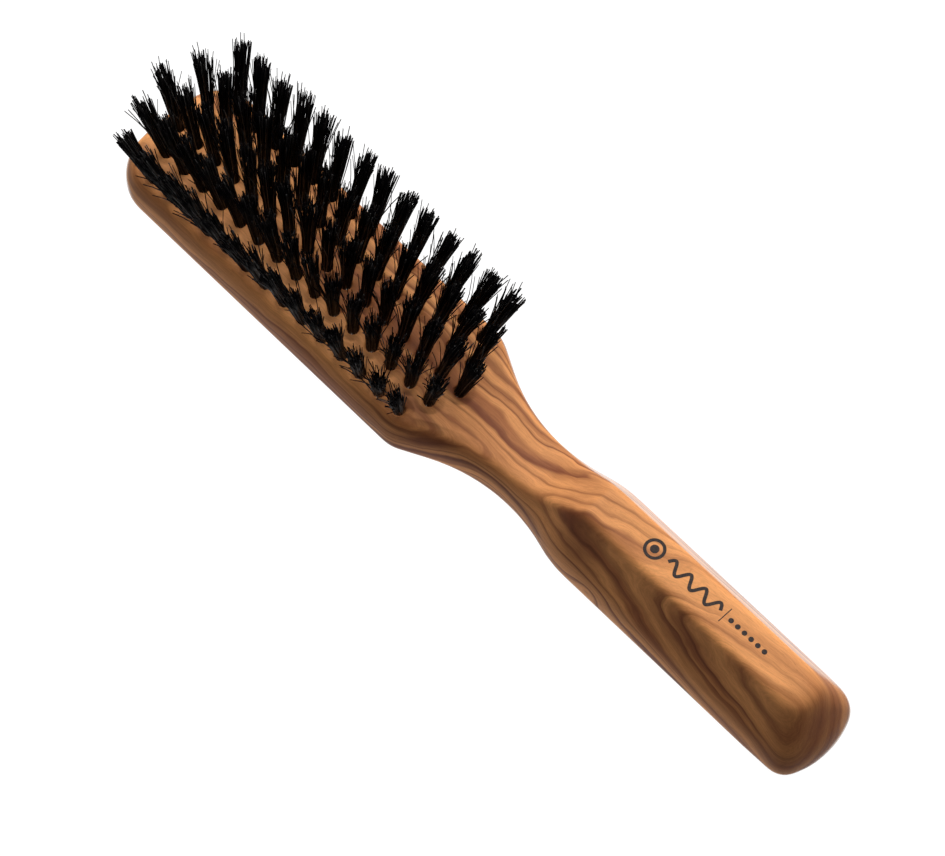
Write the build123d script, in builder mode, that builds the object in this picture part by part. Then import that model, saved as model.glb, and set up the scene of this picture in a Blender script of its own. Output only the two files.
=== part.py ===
from build123d import *
from math import acos, degrees, radians, sqrt, tan
import os

# A flat vanity hairbrush: one piece of olive wood with folded tufts of bristle set in its head.
# Millimetres. The brush lies on its flat back with the bristles up. +X runs from the head
# to the end of the handle, +Y is across, and the origin is on the back, under the middle
# of the overall length.

# Wooden body, seen from above.
length = 222.8
head_width = 37.6
waist_width = 18.2
handle_width = 24.8
waist_x = 16.8
waist_radius = 45.0
hip_radius = 30.0
shoulder_angle = 28.0
shoulder_radius = 9.0
head_end_radius = 70.0
head_corner_radius = 11.5
handle_end_radius = 26.5
handle_corner_radius = 5.5

# Wooden body, seen from the side.
head_thickness = 12.5
handle_thickness = 22.5
wall_height = 7.5
brow_height = 3.0
brow_angle = 14.0
bevel_angle = 28.3
slope_foot_x = 20.4
slope_foot_radius = 25.0
ridge_x = 36.4
back_radius = 4.0
crest_radius = 2.5

# Bristle field: five lengthwise lines of tufts, each half a step from its neighbours.
tufts_per_line = (14, 15, 16, 15, 14)
field_x = -57.15
step_along = 6.5
step_across = 7.0
lean_along = 13.9
lean_across = 14.7
bristle_height = 21.5
tip_radius = 2.45
tip_dome = 1.2
flare_start = 0.6

# Holes in the head, and the flat wire anchors that hold the folded tufts in them.
hole_radius = 1.6
hole_depth = 7.0
fold_radius = 0.7
fold_height = 1.3
anchor_width = 1.6
anchor_thickness = 0.35
anchor_length = 3.1

line_count = len(tufts_per_line)
longest_line = max(tufts_per_line)
tiny = 0.01
upright = (Align.CENTER, Align.CENTER, Align.MIN)


def bulge(radius, half_chord):
    """Height of an arc of this radius over half of its chord."""
    return radius - sqrt(radius**2 - half_chord**2)


def tuft_plane(line, number):
    """Plane where a tuft leaves the wood. Its Z runs up the tuft, which leans outwards."""
    steps = number - (tufts_per_line[line] - 1) / 2
    lines = line - (line_count - 1) / 2
    rise_x = tan(radians(lean_along * 2 * steps / (longest_line - 1)))
    rise_y = tan(radians(lean_across * 2 * lines / (line_count - 1)))
    return Plane(
        origin=(field_x + step_along * steps, step_across * lines, head_thickness),
        x_dir=(1, 0, -rise_x),
        z_dir=(rise_x, rise_y, 1),
    )


# The tufts in lengthwise lines, and again in crosswise rows from the head end to the neck.
lines = [[tuft_plane(line, n) for n in range(count)] for line, count in enumerate(tufts_per_line)]
tufts = [tuft for line in lines for tuft in line]
row_places = sorted({round(tuft.origin.X, 3) for tuft in tufts})
rows = [[tuft for tuft in tufts if abs(tuft.origin.X - x) < tiny] for x in row_places]

os.makedirs("parts", exist_ok=True)


# ---------------------------------------------------------------- wooden body
hip_rise = (handle_width - waist_width) / 2
hip_turn = degrees(acos(1 - hip_rise / (waist_radius + hip_radius)))

with BuildSketch() as outline:
    with BuildLine():
        neck = JernArc((waist_x, waist_width / 2), (-1, 0), waist_radius, -shoulder_angle)
        shoulder_run = (head_width / 2 - (neck @ 1).Y) / tan(radians(shoulder_angle))
        shoulder_x = (neck @ 1).X - shoulder_run
        head_side_x = bulge(head_end_radius, head_width / 2) - length / 2
        Polyline(neck @ 1, (shoulder_x, head_width / 2), (head_side_x, head_width / 2))

        hollow = JernArc((waist_x, waist_width / 2), (1, 0), waist_radius, hip_turn)
        hip = JernArc(hollow @ 1, hollow % 1, hip_radius, -hip_turn)
        handle_side_x = length / 2 - bulge(handle_end_radius, handle_width / 2)
        Line(hip @ 1, (handle_side_x, handle_width / 2))

        mirror(about=Plane.XZ)
        ThreePointArc(
            (head_side_x, -head_width / 2),
            (-length / 2, 0),
            (head_side_x, head_width / 2),
        )
        ThreePointArc(
            (handle_side_x, -handle_width / 2),
            (length / 2, 0),
            (handle_side_x, handle_width / 2),
        )
    make_face()
    fillet(outline.vertices().sort_by(Axis.X)[:2], head_corner_radius)
    shoulders = outline.vertices().filter_by_position(Axis.X, shoulder_x - tiny, shoulder_x + tiny)
    fillet(shoulders, shoulder_radius)

with BuildPart() as wooden_body:
    # An upright wall, a short brow, then one long bevel that leans in all the way round.
    add(outline.sketch)
    extrude(amount=wall_height)
    extrude(wooden_body.faces().sort_by(Axis.Z)[-1], amount=brow_height, taper=brow_angle)
    bevel_height = handle_thickness - wall_height - brow_height
    extrude(wooden_body.faces().sort_by(Axis.Z)[-1], amount=bevel_height, taper=bevel_angle)

    handle_corners = wooden_body.edges().filter_by(
        lambda edge: edge.center().X > ridge_x + handle_width
        and abs((edge @ 0).Z - (edge @ 1).Z) > brow_height / 2
    )
    fillet(handle_corners, handle_corner_radius)
    fillet(wooden_body.edges().group_by(Axis.Z)[-1], crest_radius)
    fillet(wooden_body.edges().group_by(Axis.Z)[0], back_radius)

    # The head and neck are cut down to a level top, which climbs a slope to the handle.
    with BuildSketch(Plane.XZ) as above_the_head:
        with BuildLine():
            Polyline(
                (-length, head_thickness),
                (slope_foot_x, head_thickness),
                (ridge_x, handle_thickness),
                (ridge_x, 2 * handle_thickness),
                (-length, 2 * handle_thickness),
                close=True,
            )
        make_face()
        slope_foot = above_the_head.vertices().group_by(Axis.Y)[0].sort_by(Axis.X)[-1]
        fillet(slope_foot, slope_foot_radius)
    extrude(amount=head_width, both=True, mode=Mode.SUBTRACT)

    level = wooden_body.faces().filter_by(lambda face: face.normal_at().Z > 0.8)
    cut_faces = level.filter_by(lambda face: face.center().X < ridge_x)
    outer_edges = cut_faces.edges().filter_by(
        lambda edge: sum(edge in face.edges() for face in cut_faces) == 1
        and edge.center().X < ridge_x - tiny
    )
    fillet(outer_edges, crest_radius)

    # Blind holes for the tufts, each drilled at its own lean.
    with Locations(*(tuft.offset(-hole_depth) for tuft in tufts)):
        Cylinder(hole_radius, 2 * hole_depth, align=upright, mode=Mode.SUBTRACT)

wooden_body.part.label = "wooden_body"
export_step(wooden_body.part, "parts/wooden_body.step")


# ---------------------------------------------------------------- bristle tufts
dome_radius = (tip_radius**2 + tip_dome**2) / (2 * tip_dome)

for row_number, row in enumerate(rows, start=1):
    with BuildPart() as bristle_row:
        for tuft in row:
            # Half section of a bundle: folded at the foot, straight in its hole, then flaring.
            with BuildSketch(Plane(tuft.origin, x_dir=tuft.x_dir, z_dir=-tuft.y_dir)):
                with BuildLine():
                    foot = Line((0, -hole_depth), (hole_radius - fold_radius, -hole_depth))
                    fold = JernArc(foot @ 1, (1, 0), fold_radius, 90)
                    shoulder = (tip_radius, bristle_height - tip_dome)
                    Polyline(fold @ 1, (hole_radius, flare_start), shoulder)
                    RadiusArc(shoulder, (0, bristle_height), -dome_radius)
                    Line((0, bristle_height), (0, -hole_depth))
                make_face()
            revolve(axis=Axis(tuft.origin, tuft.z_dir))
        # The anchor lies in the fold, so each bundle is split around it.
        with Locations(*(tuft.offset(fold_height - hole_depth) for tuft in row)):
            Box(
                anchor_thickness,
                2 * tip_radius,
                anchor_width,
                align=upright,
                mode=Mode.SUBTRACT,
            )

    bristle_row.part.label = f"bristle_row_{row_number:02d}"
    export_step(bristle_row.part, f"parts/bristle_row_{row_number:02d}.step")


# ---------------------------------------------------------------- anchors
for line_number, line in enumerate(lines, start=1):
    with BuildPart() as anchors:
        with Locations(*(tuft.offset(fold_height - hole_depth) for tuft in line)):
            Box(anchor_thickness, anchor_length, anchor_width, align=upright)

    anchors.part.label = f"anchor_wires_line_{line_number}"
    export_step(anchors.part, f"parts/anchor_wires_line_{line_number}.step")
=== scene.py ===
import math
import random

import bpy
import numpy as np
from mathutils import Matrix, Vector


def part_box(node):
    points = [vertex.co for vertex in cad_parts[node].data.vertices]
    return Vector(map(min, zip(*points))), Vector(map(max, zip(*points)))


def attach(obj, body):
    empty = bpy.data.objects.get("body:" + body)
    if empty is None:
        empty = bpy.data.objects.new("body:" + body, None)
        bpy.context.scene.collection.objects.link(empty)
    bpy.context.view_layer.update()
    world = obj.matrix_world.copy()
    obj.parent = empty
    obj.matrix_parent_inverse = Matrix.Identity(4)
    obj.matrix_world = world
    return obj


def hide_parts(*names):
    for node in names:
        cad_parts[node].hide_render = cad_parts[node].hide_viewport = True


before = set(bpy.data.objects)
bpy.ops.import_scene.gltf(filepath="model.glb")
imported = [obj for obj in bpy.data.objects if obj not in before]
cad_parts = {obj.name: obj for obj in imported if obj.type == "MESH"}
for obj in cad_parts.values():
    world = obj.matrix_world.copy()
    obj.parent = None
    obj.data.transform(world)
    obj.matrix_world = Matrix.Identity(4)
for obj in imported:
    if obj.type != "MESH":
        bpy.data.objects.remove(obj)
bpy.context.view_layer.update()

# A vanity hairbrush: an olive-wood body with a printed ornament, and tufts of black bristle.
# Metres, in the frame of the CAD model: +X from the head to the handle, +Z up.

MM = 0.001
SCENE = bpy.context.scene
WOOD_LOW, WOOD_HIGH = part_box("wooden_body")
HANDLE_TOP = WOOD_HIGH.z
END_CREST_X = WOOD_HIGH.x - 7.5 * MM

BRISTLE_NODES = sorted(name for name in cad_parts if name.startswith("bristle_row"))
ANCHOR_NODES = sorted(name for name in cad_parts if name.startswith("anchor_wires"))


# ---------------------------------------------------------------- helpers

def mesh_points(mesh):
    """The vertices of a mesh as an array of rows."""
    points = np.empty(len(mesh.vertices) * 3)
    mesh.vertices.foreach_get("co", points)
    return points.reshape(-1, 3)


def add_mesh(name, points, faces, smooth=True):
    """Makes a mesh object from points and faces and puts it in the scene."""
    mesh = bpy.data.meshes.new(name)
    mesh.from_pydata([tuple(p) for p in points], [], faces)
    mesh.update()
    if smooth:
        mesh.shade_smooth()
    else:
        mesh.shade_flat()
    piece = bpy.data.objects.new(name, mesh)
    SCENE.collection.objects.link(piece)
    return piece


def set_material(piece, material):
    """Leaves a piece with this one material."""
    piece.data.materials.clear()
    piece.data.materials.append(material)


class Graph:
    """A small wrapper that makes the nodes of a material or world read like formulas."""

    def __init__(self, owner):
        owner.use_nodes = True
        self.owner = owner
        self.tree = owner.node_tree
        self.tree.nodes.clear()

    def node(self, kind, inputs=None, **settings):
        made = self.tree.nodes.new(kind)
        for key, value in settings.items():
            setattr(made, key, value)
        for key, value in (inputs or {}).items():
            self.feed(made.inputs[key], value)
        return made

    def feed(self, socket, value):
        if isinstance(value, bpy.types.NodeSocket):
            self.tree.links.new(value, socket)
        else:
            socket.default_value = value

    def math(self, operation, a, b=0.0, c=0.0):
        made = self.node("ShaderNodeMath", {0: a, 1: b, 2: c}, operation=operation)
        return made.outputs[0]

    def scale(self, value, factor):
        return self.math("MULTIPLY", value, factor)

    def vector(self, x=0.0, y=0.0, z=0.0):
        return self.node("ShaderNodeCombineXYZ", {0: x, 1: y, 2: z}).outputs[0]

    def noise(self, vector, scale=1.0, detail=2.0, roughness=0.5):
        inputs = {
            "Vector": vector,
            "Scale": scale,
            "Detail": detail,
            "Roughness": roughness,
        }
        return self.node("ShaderNodeTexNoise", inputs).outputs["Fac"]

    def knot(self, x, y, z, centre, reach, lift):
        """A smooth hump of this lift about a centre, fading over its reach along each axis."""
        total = 0.0
        for along, middle, size in zip((x, y, z), centre, reach):
            offset = self.scale(self.math("SUBTRACT", along, middle), 1.0 / size)
            total = self.math("ADD", self.math("MULTIPLY", offset, offset), total)
        return self.scale(self.math("EXPONENT", self.scale(total, -1.0)), lift)

    def ramp(self, value, stops, interpolation="EASE"):
        made = self.node("ShaderNodeValToRGB", {"Fac": value})
        elements = made.color_ramp.elements
        made.color_ramp.interpolation = interpolation
        for _ in range(len(stops) - 2):
            elements.new(0.5)
        for element, (place, colour) in zip(elements, stops):
            element.position = place
            element.color = colour if len(colour) == 4 else (*colour, 1.0)
        return made.outputs["Color"]

    def mix(self, share, first, second, blend="MIX"):
        made = self.node("ShaderNodeMix", data_type="RGBA", blend_type=blend)
        self.feed(made.inputs["Factor"], share)
        self.feed(made.inputs["A"], first)
        self.feed(made.inputs["B"], second)
        return made.outputs["Result"]

    def finish(self, shader, output="ShaderNodeOutputMaterial"):
        self.node(output, {"Surface": shader.outputs[0]})
        return self.owner


def grey(level):
    return (level, level, level, 1.0)


# ---------------------------------------------------------------- materials

def olive_wood():
    """Oiled olive wood: golden ground, broad brown bands and thin dark lines round a pith."""
    g = Graph(bpy.data.materials.new("olive_wood"))
    place = g.node("ShaderNodeTexCoord").outputs["Object"]
    scaled = g.node("ShaderNodeVectorMath", {0: place, 1: (1000, 1000, 1000)}, operation="MULTIPLY")
    parts = g.node("ShaderNodeSeparateXYZ", {0: scaled.outputs[0]})
    x, y, z = parts.outputs

    # Slow wander of the grain, stretched so that it flows along the wood, and a finer ripple.
    flow = g.vector(g.scale(x, 0.016), g.scale(y, 0.04), g.scale(z, 0.04))
    wander = g.scale(g.math("SUBTRACT", g.noise(flow, 1.0, 2.0, 0.5), 0.5), 9.5)
    ripple_at = g.vector(g.scale(x, 0.07), g.scale(y, 0.14), g.scale(z, 0.14))
    ripple = g.scale(g.math("SUBTRACT", g.noise(ripple_at, 1.0, 2.0), 0.5), 3.0)

    # Growth rings are cones about a pith beyond the near side, wider towards the handle's end.
    # Where the body swells from the neck to the handle, they swell with it.
    pith_y = g.math("ADD", y, 20.0)
    pith_z = g.math("SUBTRACT", z, 32.0)
    squares = g.math("ADD", g.math("MULTIPLY", pith_y, pith_y), g.math("MULTIPLY", pith_z, pith_z))
    opening = g.scale(g.math("MAXIMUM", g.math("SUBTRACT", x, 34.0), 0.0), 0.19)
    swell = g.ramp(g.scale(x, 0.01), [(0.16, grey(0.0)), (0.42, grey(1.0))])
    ring = g.math("SUBTRACT", g.math("SQRT", squares), opening)
    ring = g.math("ADD", ring, g.scale(swell, 3.4))
    ring = g.math("ADD", g.math("ADD", ring, wander), ripple)
    ring = g.math("ADD", ring, g.knot(x, y, z, (47.0, -13.0, 7.0), (5.0, 5.0, 3.5), 4.5))
    ring = g.math("ADD", ring, g.knot(x, y, z, (66.0, 3.5, 22.5), (9.0, 3.0, 4.0), -2.6))
    ring = g.math("ADD", ring, g.knot(x, y, z, (13.0, -16.0, 8.0), (9.0, 6.0, 6.0), 6.0))

    # One ring: a soft dark line in the golden ground. Rings crowd in the head and the neck.
    # The lines are strong in some places and faint in others, and calm in three regions.
    uneven = g.noise(g.vector(g.scale(ring, 0.21), g.scale(x, 0.004), 0.0), 1.0, 2.0)
    crowding = g.ramp(g.scale(x, 0.01), [(0.10, grey(0.40)), (0.46, grey(0.29))])
    turns = g.math("MULTIPLY", g.math("SUBTRACT", ring, 21.0), crowding)
    turns = g.math("ADD", turns, g.scale(uneven, 2.8))
    line = g.ramp(g.math("FRACT", turns), [
        (0.0, grey(0.06)),
        (0.13, grey(0.42)),
        (0.22, grey(1.0)),
        (0.31, grey(0.85)),
        (0.48, grey(0.36)),
        (0.74, grey(0.10)),
        (1.0, grey(0.06)),
    ])
    strength_at = g.vector(g.scale(ring, 0.24), g.scale(x, 0.012), 3.0)
    strength = g.ramp(g.noise(strength_at, 1.0, 2.0), [
        (0.36, grey(0.30)),
        (0.48, grey(0.70)),
        (0.58, grey(1.0)),
    ])
    calm = g.knot(x, y, z, (76.0, 3.0, 23.0), (36.0, 10.0, 5.0), -0.72)
    calm = g.math("ADD", calm, g.knot(x, y, z, (-92.0, -6.0, 13.0), (28.0, 18.0, 9.0), -0.60))
    calm = g.math("ADD", calm, g.knot(x, y, z, (105.0, -2.0, 14.0), (9.0, 14.0, 10.0), -0.45))
    dark = g.math("MULTIPLY", g.math("MULTIPLY", line, strength), g.math("ADD", calm, 1.0))

    # Broad brown bands, which follow the rings.
    broad_at = g.vector(g.scale(ring, 0.30), g.scale(x, 0.014), 9.0)
    broad = g.ramp(g.noise(broad_at, 1.0, 3.0), [(0.42, grey(0.0)), (0.64, grey(1.0))])
    broad = g.math("MULTIPLY", broad, g.math("ADD", calm, 1.0))

    # Soft dark patches in the bevels, slope and end of the handle: partly the wood's own stains,
    # partly painted shade that darkens these faces.
    stain_and_shade = g.knot(x, y, z, (40.0, -9.0, 15.0), (6.0, 3.5, 5.0), 0.50)
    stain_and_shade = g.math("ADD", stain_and_shade, g.knot(x, y, z, (18.0, 0.0, 18.0), (27.0, 24.0, 14.0), 0.22))
    stain_and_shade = g.math("ADD", stain_and_shade, g.knot(x, y, z, (31.0, 0.0, 21.0), (7.0, 14.0, 4.0), 0.22))
    stain_and_shade = g.math("ADD", stain_and_shade, g.knot(x, y, z, (73.0, -9.0, 16.5), (9.0, 3.0, 4.0), 0.50))
    stain_and_shade = g.math("ADD", stain_and_shade, g.knot(x, y, z, (106.0, -1.0, 15.0), (7.5, 12.0, 9.0), 0.78))

    # A dark streak across the near shoulder, along a leaning plane that wanders with the grain.
    across = g.math("SUBTRACT", g.scale(x, 0.590), g.scale(y, 0.674))
    across = g.math("SUBTRACT", g.math("SUBTRACT", across, g.scale(z, 0.444)), 1.8)
    across = g.math("ADD", across, g.scale(wander, 0.35))
    streak = g.math("EXPONENT", g.scale(g.math("MULTIPLY", across, across), -0.30))
    streak = g.math("MULTIPLY", streak, g.knot(x, y, z, (-5.0, -13.0, 8.5), (7.5, 6.0, 7.0), 1.1))
    stain_and_shade = g.math("MINIMUM", g.math("ADD", stain_and_shade, streak), 0.9)

    golden = (0.77, 0.335, 0.118, 1.0)
    amber = (0.39, 0.140, 0.050, 1.0)
    umber = (0.195, 0.060, 0.026, 1.0)
    # The stains and the painted shade pull the golden and amber ground towards umber.
    ground = g.mix(stain_and_shade, g.mix(broad, golden, amber), umber)
    colour = g.mix(dark, ground, umber)

    # Fine fibres along the grain and short dark pores.
    fibre_at = g.vector(g.scale(x, 0.22), g.scale(ring, 4.5), g.scale(y, 1.2))
    fibre = g.noise(fibre_at, 1.0, 3.0, 0.6)
    colour = g.mix(0.30, colour, g.ramp(fibre, [(0.3, grey(0.35)), (0.7, grey(1.0))]), "MULTIPLY")
    pore_at = g.vector(g.scale(x, 0.8), g.scale(y, 8.0), g.scale(z, 8.0))
    pores = g.ramp(g.noise(pore_at, 1.0, 1.0), [(0.62, grey(0.0)), (0.72, grey(1.0))])
    colour = g.mix(g.scale(pores, 0.25), colour, umber)

    # Oiled and rubbed: satin when seen from above, glossy only at grazing angles.
    facing = g.node("ShaderNodeLayerWeight", {"Blend": 0.5}).outputs["Facing"]
    height = g.math("SUBTRACT", g.scale(fibre, 0.5), g.scale(pores, 0.6))
    bump = g.node("ShaderNodeBump", {"Strength": 0.10, "Distance": 0.0001, "Height": height})
    shader = g.node("ShaderNodeBsdfPrincipled", {
        "Base Color": colour,
        "Roughness": g.math("ADD", 0.36, g.scale(fibre, 0.14)),
        "IOR": 1.45,
        "Specular IOR Level": 0.08,
        "Coat Weight": g.ramp(facing, [(0.74, grey(0.0)), (0.92, grey(0.82))]),
        "Coat Roughness": 0.12,
        "Normal": bump.outputs[0],
    })
    return g.finish(shader)


def bristle_black():
    """Dyed natural bristle: almost black, each hair a little browner or glossier than the next."""
    g = Graph(bpy.data.materials.new("bristle_black"))
    hair = g.node("ShaderNodeNewGeometry").outputs["Random Per Island"]
    place = g.node("ShaderNodeTexCoord").outputs["Object"]
    patch = g.noise(place, 900.0, 2.0)
    tone = g.math("ADD", g.scale(hair, 0.6), g.scale(patch, 0.4))
    colour = g.ramp(tone, [
        (0.25, (0.001, 0.001, 0.002)),
        (0.60, (0.004, 0.003, 0.003)),
        (0.80, (0.010, 0.008, 0.007)),
    ], "LINEAR")
    gloss = g.ramp(hair, [(0.60, grey(0.03)), (0.90, grey(0.32)), (1.0, grey(1.0))])
    shader = g.node("ShaderNodeBsdfPrincipled", {
        "Base Color": colour,
        "Roughness": g.math("ADD", 0.34, g.scale(patch, 0.25)),
        "IOR": 1.5,
        "Specular IOR Level": gloss,
    })
    return g.finish(shader)


def printed_ink():
    """Thin dark brown ink with slight wear."""
    g = Graph(bpy.data.materials.new("printed_ink"))
    place = g.node("ShaderNodeTexCoord").outputs["Object"]
    wear = g.noise(place, 1800.0, 3.0, 0.6)
    shader = g.node("ShaderNodeBsdfPrincipled", {
        "Base Color": g.ramp(wear, [(0.35, (0.016, 0.011, 0.010)), (0.75, (0.050, 0.030, 0.022))]),
        "Roughness": g.math("ADD", 0.55, g.scale(wear, 0.2)),
        "Specular IOR Level": 0.2,
    })
    return g.finish(shader)


def drawn_wire():
    """Drawn flat wire: bright steel with fine marks along it."""
    g = Graph(bpy.data.materials.new("drawn_wire"))
    place = g.node("ShaderNodeTexCoord").outputs["Object"]
    marks = g.noise(place, 4000.0, 2.0)
    rough = g.math("ADD", 0.25, g.math("MULTIPLY", marks, 0.2))
    shader = g.node("ShaderNodeBsdfPrincipled", {
        "Base Color": (0.55, 0.54, 0.52, 1.0),
        "Metallic": 1.0,
        "Roughness": rough,
    })
    return g.finish(shader)


# ---------------------------------------------------------------- wooden body

# The finer voxel keeps the body's mesh under 200,000 triangles.
VOXEL = 0.55 * MM
HALF_WAY = 0.5
ALL_OVER_ROUNDS = 3
SIDE_ROUNDS = 27
END_CREST_ROUNDS = 74
END_CORNER_ROUNDS = 24
RIM_ANGLE = math.radians(24)


def smooth_points(points, edges, weight, rounds):
    """Moves each point towards its neighbours' average, as far as its weight says."""
    count = np.bincount(edges.ravel(), minlength=len(points))[:, None]
    first, second = edges[:, 0], edges[:, 1]
    for _ in range(rounds):
        total = np.zeros_like(points)
        for axis in range(3):
            total[:, axis] += np.bincount(first, points[second, axis], len(points))
            total[:, axis] += np.bincount(second, points[first, axis], len(points))
        points = points + weight[:, None] * (total / count - points)
    return points


def ease(values, start, end):
    """Rises from 0 at the start to 1 at the end."""
    return np.clip((values - start) / (end - start), 0.0, 1.0)


def make_wood(material):
    """The sanded body: the CAD shape remeshed evenly, its sides and the handle's end eased."""
    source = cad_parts["wooden_body"]
    copy = bpy.data.objects.new("copy", source.data.copy())
    SCENE.collection.objects.link(copy)
    weld = copy.modifiers.new("weld", "WELD")
    weld.merge_threshold = 1e-6
    remesh = copy.modifiers.new("remesh", "REMESH")
    remesh.mode = "VOXEL"
    remesh.voxel_size = VOXEL
    bpy.context.view_layer.update()
    shape = copy.evaluated_get(bpy.context.evaluated_depsgraph_get())
    mesh = bpy.data.meshes.new_from_object(shape)
    bpy.data.objects.remove(copy)

    points = mesh_points(mesh)
    edges = np.empty(len(mesh.edges) * 2, int)
    mesh.edges.foreach_get("vertices", edges)
    edges = edges.reshape(-1, 2)
    points = smooth_points(points, edges, np.full(len(points), HALF_WAY), ALL_OVER_ROUNDS)
    x, _, z = points.T
    sides = ease(z, 6.0 * MM, 7.5 * MM) * ease(z, 12.0 * MM, 10.5 * MM)
    sides *= 0.3 + 0.7 * ease(x, WOOD_LOW.x + 9.0 * MM, WOOD_LOW.x + 22.0 * MM)
    points = smooth_points(points, edges, HALF_WAY * sides, SIDE_ROUNDS)
    end_crest = ease(x, END_CREST_X - 9.0 * MM, END_CREST_X - 3.0 * MM)
    end_crest = end_crest * ease(z, 15.0 * MM, 19.0 * MM)
    points = smooth_points(points, edges, HALF_WAY * end_crest, END_CREST_ROUNDS)
    x, y, _ = points.T
    end_corners = ease(x, END_CREST_X - 7.0 * MM, END_CREST_X - 1.0 * MM)
    end_corners = end_corners * ease(abs(y), 5.0 * MM, 8.0 * MM)
    points = smooth_points(points, edges, HALF_WAY * end_corners, END_CORNER_ROUNDS)
    mesh.vertices.foreach_set("co", points.ravel())
    mesh.update()
    mesh.shade_smooth()
    # The rims of the tuft holes shade as edges, so that no soft ring shows round a tuft's foot.
    mesh.set_sharp_from_angle(angle=RIM_ANGLE)

    piece = bpy.data.objects.new("olive_wood_body", mesh)
    SCENE.collection.objects.link(piece)
    set_material(piece, material)
    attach(piece, "root")
    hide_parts("wooden_body")


# ---------------------------------------------------------------- bristles

HAIRS_PER_TUFT = 96
HAIR_RADIUS = 0.145 * MM
HAIR_SIDES = 4
HAIR_STEPS = 5
HAIR_TAPER = 0.16
CLUMPS = 7
BURIED = 1.5 * MM
GOLDEN_ANGLE = 2.39996
STRAY_SHARE = 0.09
STRAY_OR_BARB_SHARE = 0.19
FIRST_SEED = 1000


def loose_parts(mesh):
    """The vertex rows of each separate solid in a mesh, welded by place."""
    points = mesh_points(mesh)
    keys = np.round(points / (0.001 * MM)).astype(np.int64)
    _, place = np.unique(keys, axis=0, return_inverse=True)
    place = place.ravel()
    parent = list(range(place.max() + 1))

    def root(i):
        while parent[i] != i:
            parent[i] = parent[parent[i]]
            i = parent[i]
        return i

    edges = np.empty(len(mesh.edges) * 2, int)
    mesh.edges.foreach_get("vertices", edges)
    for a, b in place[edges.reshape(-1, 2)]:
        parent[root(a)] = root(b)
    roots = np.array([root(i) for i in place])
    return [points[roots == r] for r in np.unique(roots)]


def tuft_axis(points):
    """The foot and the tip of a tuft's own axis, from the points of its CAD solid."""
    centre = points.mean(axis=0)
    _, _, directions = np.linalg.svd(points - centre, full_matrices=False)
    along = directions[0] * np.sign(directions[0][2])
    for _ in range(3):
        travel = points @ along
        tip = points[np.argmax(travel)]
        foot = points[travel < travel.min() + 0.05 * MM].mean(axis=0)
        along = (tip - foot) / np.linalg.norm(tip - foot)
    return Vector(foot), Vector(tip)


def tuft_radii(points, foot, along):
    """Radius of the bundle in its hole, and the larger one just under its tips."""
    offset = points - np.array(foot)
    travel = offset @ np.array(along)
    radial = np.linalg.norm(offset - travel[:, None] * np.array(along), axis=1)
    low = radial[travel < travel.max() * 0.2].max()
    return low, radial.max()


def hair_path(start, spread, length, lean, bend):
    """Points along one hair in its tuft's frame, where Z is the tuft's axis."""
    path = []
    for step in range(HAIR_STEPS):
        t = step / (HAIR_STEPS - 1)
        share = t ** 1.25
        bow = math.sin(3.1 * t)
        x = start[0] + (spread[0] - start[0]) * share + lean[0] * length * t * t + bend[0] * bow
        y = start[1] + (spread[1] - start[1]) * share + lean[1] * length * t * t + bend[1] * bow
        path.append(Vector((x, y, length * t)))
    return path


def add_hair(points, faces, path, frame_matrix, radius):
    """Adds one closed tapering tube along a path."""
    base = len(points)
    side = frame_matrix.to_3x3() @ Vector((1, 0, 0))
    other = frame_matrix.to_3x3() @ Vector((0, 1, 0))
    last = len(path) - 1
    for step, spot in enumerate(path):
        centre = frame_matrix @ spot
        r = radius * (1.0 - HAIR_TAPER * (step / last) ** 2)
        for k in range(HAIR_SIDES):
            angle = 2 * math.pi * k / HAIR_SIDES
            points.append(centre + side * (r * math.cos(angle)) + other * (r * math.sin(angle)))
    for step in range(last):
        for k in range(HAIR_SIDES):
            a = base + step * HAIR_SIDES + k
            b = base + step * HAIR_SIDES + (k + 1) % HAIR_SIDES
            faces.append((a, b, b + HAIR_SIDES, a + HAIR_SIDES))
    faces.append(tuple(base + k for k in reversed(range(HAIR_SIDES))))
    faces.append(tuple(base + last * HAIR_SIDES + k for k in range(HAIR_SIDES)))


def disc_point(index, count, radius, rng):
    """An evenly spread point of a disc, slightly shaken."""
    r = radius * math.sqrt((index + 0.5) / count)
    angle = GOLDEN_ANGLE * index + rng.uniform(-0.25, 0.25)
    return r * math.cos(angle), r * math.sin(angle)


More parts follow.
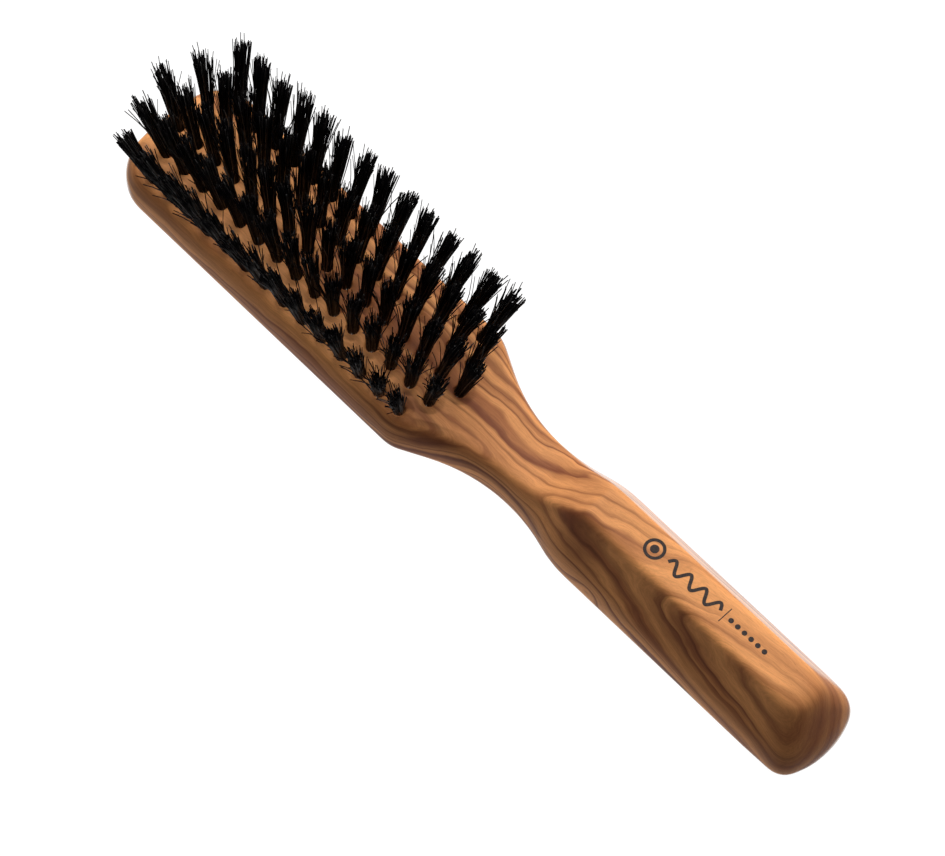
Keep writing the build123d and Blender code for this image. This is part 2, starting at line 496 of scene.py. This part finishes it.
def add_tuft(points, faces, solid, head_top, rng):
    """Fills the place of one CAD tuft with loose hairs that part into clumps at their tips."""
    foot, tip = tuft_axis(solid)
    along = (tip - foot).normalized()
    hole_radius, tip_radius = tuft_radii(solid, foot, along)
    out_of_wood = foot + along * ((head_top - foot.z) / along.z)
    start = out_of_wood - along * BURIED
    full_length = (tip - start).length
    side = Vector((1, 0, 0)) - along * along.x
    side.normalize()
    matrix = Matrix((side, along.cross(side), along)).transposed().to_4x4()
    matrix.translation = start

    sway = (rng.gauss(0.0, 0.016), rng.gauss(0.0, 0.016))
    trim = rng.gauss(0.0, 0.35) * MM
    fullness = rng.uniform(0.86, 1.04)
    loose = rng.uniform(0.6, 1.7)
    packed = 0.92 * hole_radius - HAIR_RADIUS
    clumps = []
    for k in range(CLUMPS):
        x, y = disc_point(k, CLUMPS, tip_radius, rng)
        clumps.append((x, y, rng.uniform(-1.5, 0.7) * MM))
    for index in range(HAIRS_PER_TUFT):
        low = disc_point(index, HAIRS_PER_TUFT, packed, rng)
        swell = fullness * tip_radius / packed * rng.uniform(0.84, 1.10)
        high = (low[0] * swell, low[1] * swell)
        near = min(clumps, key=lambda c: (c[0] - high[0]) ** 2 + (c[1] - high[1]) ** 2)
        pull = rng.uniform(0.25, 0.75) / max(loose, 0.8)
        high = (high[0] + (near[0] - high[0]) * pull, high[1] + (near[1] - high[1]) * pull)
        length = full_length + trim + near[2] - abs(rng.gauss(0.0, 1.2)) * MM
        lean = (sway[0] + rng.gauss(0.0, 0.018), sway[1] + rng.gauss(0.0, 0.018))
        kind = rng.random()
        if kind < STRAY_SHARE * loose:
            # A stray hair, most often on the side of the head's end, stands away from the bundle.
            size = rng.uniform(0.04, 0.16)
            angle = math.pi + rng.gauss(0.0, 0.9)
            lean = (size * math.cos(angle), size * math.sin(angle))
            length = full_length + rng.uniform(-3.0, 1.0) * MM
        elif kind < STRAY_OR_BARB_SHARE * loose:
            # A short barb that leaves the side of the bundle on the way up.
            size = rng.uniform(0.07, 0.22)
            angle = math.pi + rng.gauss(0.0, 1.3)
            lean = (size * math.cos(angle), size * math.sin(angle))
            length = full_length * rng.uniform(0.55, 0.90)
        bend = (rng.gauss(0.0, 0.08) * MM, rng.gauss(0.0, 0.08) * MM)
        path = hair_path(low, high, length, lean, bend)
        add_hair(points, faces, path, matrix, HAIR_RADIUS * rng.uniform(0.85, 1.1))


def make_bristles(material):
    """One piece of loose hairs for each crosswise row of tufts."""
    wood = mesh_points(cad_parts["wooden_body"].data)
    head_top = wood[wood[:, 0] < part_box(BRISTLE_NODES[0])[1].x, 2].max()
    for number, node in enumerate(BRISTLE_NODES, start=1):
        rng = random.Random(FIRST_SEED + number)
        points, faces = [], []
        for solid in sorted(loose_parts(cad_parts[node].data), key=lambda p: p[:, 1].mean()):
            add_tuft(points, faces, solid, head_top, rng)
        piece = add_mesh(f"bristles_{number:02d}", points, faces)
        set_material(piece, material)
        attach(piece, "root")
        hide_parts(node)


# ---------------------------------------------------------------- printed ornament

ORNAMENT_START = 51.0 * MM
ORNAMENT_ASIDE = 0.5 * MM
WAVE_LENGTH = 16.6 * MM
WAVE_HEIGHT = 1.45 * MM
WAVE_TURNS = 3.5
WAVE_STEPS = 120
DOTS = 6
INK_SUNK = 0.02 * MM
INK_PROUD = 0.03 * MM


def ribbon(path, width, closed=False):
    """A flat strip of this width along a path in the plane: its points and faces."""
    points, faces = [], []
    count = len(path)
    for i, (x, y) in enumerate(path):
        before = path[(i - 1) % count] if closed or i > 0 else path[i]
        after = path[(i + 1) % count] if closed or i < count - 1 else path[i]
        dx, dy = after[0] - before[0], after[1] - before[1]
        size = math.hypot(dx, dy)
        nx, ny = -dy / size * width / 2, dx / size * width / 2
        points += [(x + nx, y + ny), (x - nx, y - ny)]
    for i in range(count if closed else count - 1):
        j = (i + 1) % count
        faces.append((2 * i, 2 * i + 1, 2 * j + 1, 2 * j))
    return points, faces


def circle(x, y, radius, count=40):
    """Points round a circle in the plane."""
    angles = [2 * math.pi * k / count for k in range(count)]
    return [(x + radius * math.cos(a), y + radius * math.sin(a)) for a in angles]


def disc(x, y, radius, count):
    """A filled round of the plane as one face: its points and that face."""
    return circle(x, y, radius, count), [tuple(range(count))]


def make_ornament(material):
    """A ringed dot, a wave, an upright rule and a row of dots, printed on the handle's top."""
    start = ORNAMENT_START
    ring_radius = 2.7 * MM
    shapes = [
        ribbon(circle(start + ring_radius, 0.0, ring_radius - 0.4 * MM), 0.8 * MM, closed=True),
        disc(start + ring_radius, 0.0, 1.1 * MM, 40),
    ]
    wave_start = start + 2 * ring_radius + 1.6 * MM
    wave = []
    for step in range(WAVE_STEPS + 1):
        t = step / WAVE_STEPS
        rise = WAVE_HEIGHT * math.sin(2 * math.pi * WAVE_TURNS * t)
        wave.append((wave_start + WAVE_LENGTH * t, rise))
    shapes.append(ribbon(wave, 0.85 * MM))
    rule = wave_start + WAVE_LENGTH + 1.5 * MM
    shapes.append(ribbon([(rule, -2.2 * MM), (rule, 2.2 * MM)], 0.25 * MM))
    for k in range(DOTS):
        shapes.append(disc(rule + (1.9 + 2.1 * k) * MM, 0.0, 0.66 * MM, 24))

    low = HANDLE_TOP - INK_SUNK
    high = HANDLE_TOP + INK_PROUD
    points, faces = [], []
    for flat, strips in shapes:
        base = len(points)
        count = len(flat)
        points += [(x, y + ORNAMENT_ASIDE, high) for x, y in flat]
        points += [(x, y + ORNAMENT_ASIDE, low) for x, y in flat]
        edge_use = {}
        for strip in strips:
            faces.append(tuple(base + i for i in strip))
            faces.append(tuple(base + count + i for i in reversed(strip)))
            for a, b in zip(strip, strip[1:] + strip[:1]):
                edge_use[(a, b)] = True
        for a, b in edge_use:
            if (b, a) not in edge_use:
                faces.append((base + b, base + a, base + count + a, base + count + b))
    piece = add_mesh("printed_ornament", points, faces, smooth=False)
    set_material(piece, material)
    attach(piece, "root")


# ---------------------------------------------------------------- studio

FLOOR_HALF = 3.0
SOFTBOX_DISTANCE = 1.2
SOFTBOX_SIZE = 1.2
CAMERA_DISTANCE = 1.0
LENS = 163.9
SENSOR = 36.0


def make_floor():
    """A wide white floor that looks evenly white and lights the brush's sides from below.

    What it shows depends on the ray: the camera sees a pale glowing floor, diffuse rays see a
    white one with a glow close beside the brush, and mirror rays see a glow that fades outwards.
    """
    g = Graph(bpy.data.materials.new("white_floor"))
    rays = g.node("ShaderNodeLightPath")
    place = g.node("ShaderNodeNewGeometry").outputs["Position"]
    x, y, _ = g.node("ShaderNodeSeparateXYZ", {0: place}).outputs
    away = g.math("SUBTRACT", g.math("ABSOLUTE", y), 0.020)
    sheen = g.ramp(g.scale(away, 20.0), [(0.0, grey(1.0)), (1.0, grey(0.05))])
    beside = g.ramp(g.scale(away, 60.0), [(0.0, grey(1.0)), (1.0, grey(0.0))])
    past_end = g.math("SUBTRACT", g.math("ABSOLUTE", x), WOOD_HIGH.x - 8.0 * MM)
    fade = g.ramp(g.scale(past_end, 125.0), [(0.0, grey(0.0)), (1.0, grey(1.0))])
    beside = g.mix(fade, beside, grey(0.0))
    lit = g.node("ShaderNodeEmission", {"Color": beside, "Strength": 0.78})
    white = g.node("ShaderNodeBsdfDiffuse", {"Color": grey(0.36)})
    bounce = g.node("ShaderNodeAddShader", {0: white.outputs[0], 1: lit.outputs[0]})
    pale = g.node("ShaderNodeBsdfDiffuse", {"Color": grey(0.14)})
    glow = g.node("ShaderNodeEmission", {"Color": grey(1.0), "Strength": 0.93})
    seen = g.node("ShaderNodeAddShader", {0: pale.outputs[0], 1: glow.outputs[0]})
    mirrored = g.node("ShaderNodeEmission", {"Color": sheen})
    shader = g.node("ShaderNodeMixShader", {
        0: rays.outputs["Is Diffuse Ray"],
        1: seen.outputs[0],
        2: bounce.outputs[0],
    })
    shader = g.node("ShaderNodeMixShader", {
        0: rays.outputs["Is Glossy Ray"],
        1: shader.outputs[0],
        2: mirrored.outputs[0],
    })
    material = g.finish(shader)
    half = FLOOR_HALF
    corners = [(-half, -half), (half, -half), (half, half), (-half, half)]
    level = WOOD_LOW.z - 0.02 * MM
    floor = add_mesh("floor", [(x, y, level) for x, y in corners], [(0, 1, 2, 3)])
    set_material(floor, material)


def add_softbox(name, direction, power, shadow=True):
    """A square soft light that looks at the brush from a direction."""
    light = bpy.data.lights.new(name, "AREA")
    light.shape = "SQUARE"
    light.size = SOFTBOX_SIZE
    light.energy = power
    light.use_shadow = shadow
    lamp = bpy.data.objects.new(name, light)
    lamp.location = Vector(direction).normalized() * SOFTBOX_DISTANCE
    lamp.rotation_mode = "QUATERNION"
    lamp.rotation_quaternion = lamp.location.to_track_quat("Z", "Y")
    SCENE.collection.objects.link(lamp)


def make_studio():
    """Two softboxes overhead, one without shadows, a bright far side and a dark room in front."""
    g = Graph(bpy.data.worlds.new("studio"))
    direction = g.node("ShaderNodeTexCoord").outputs["Generated"]
    x, y, _ = g.node("ShaderNodeSeparateXYZ", {0: direction}).outputs
    beyond = g.math("SUBTRACT", y, g.scale(x, 0.4))
    room = g.ramp(beyond, [(0.0, grey(0.03)), (0.7, grey(0.80))])
    rays = g.node("ShaderNodeLightPath")
    level = g.mix(rays.outputs["Is Camera Ray"], room, grey(1.0))
    background = g.node("ShaderNodeBackground", {"Color": level, "Strength": 1.0})
    SCENE.world = g.finish(background, "ShaderNodeOutputWorld")
    add_softbox("key_softbox", (-0.36, 0.48, 0.80), 8.0)
    add_softbox("open_softbox", (-0.34, 0.50, 0.80), 14.5, shadow=False)
    SCENE.view_settings.view_transform = "Standard"
    SCENE.view_settings.look = "None"


def make_camera():
    """A long lens from above the near side, as the brush is seen in the picture."""
    azimuth = math.radians(40.30)
    elevation = math.radians(63.63)
    roll = math.radians(6.07)
    forward = Vector((
        -math.sin(azimuth) * math.cos(elevation),
        math.cos(azimuth) * math.cos(elevation),
        -math.sin(elevation),
    ))
    level_right = forward.cross(Vector((0, 0, 1))).normalized()
    level_up = level_right.cross(forward)
    right = math.cos(roll) * level_right + math.sin(roll) * level_up
    up = math.cos(roll) * level_up - math.sin(roll) * level_right
    target = Vector((0.3, -4.68, 12.5)) * MM
    data = bpy.data.cameras.new("camera")
    data.lens = LENS
    data.sensor_width = SENSOR
    camera = bpy.data.objects.new("camera", data)
    turn = Matrix((right, up, -forward)).transposed().to_4x4()
    turn.translation = target - forward * CAMERA_DISTANCE
    camera.matrix_world = turn
    SCENE.collection.objects.link(camera)
    SCENE.camera = camera


# ---------------------------------------------------------------- build

make_wood(olive_wood())
make_bristles(bristle_black())
make_ornament(printed_ink())
wire = drawn_wire()
for anchor in ANCHOR_NODES:
    set_material(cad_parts[anchor], wire)
make_floor()
make_studio()
make_camera()
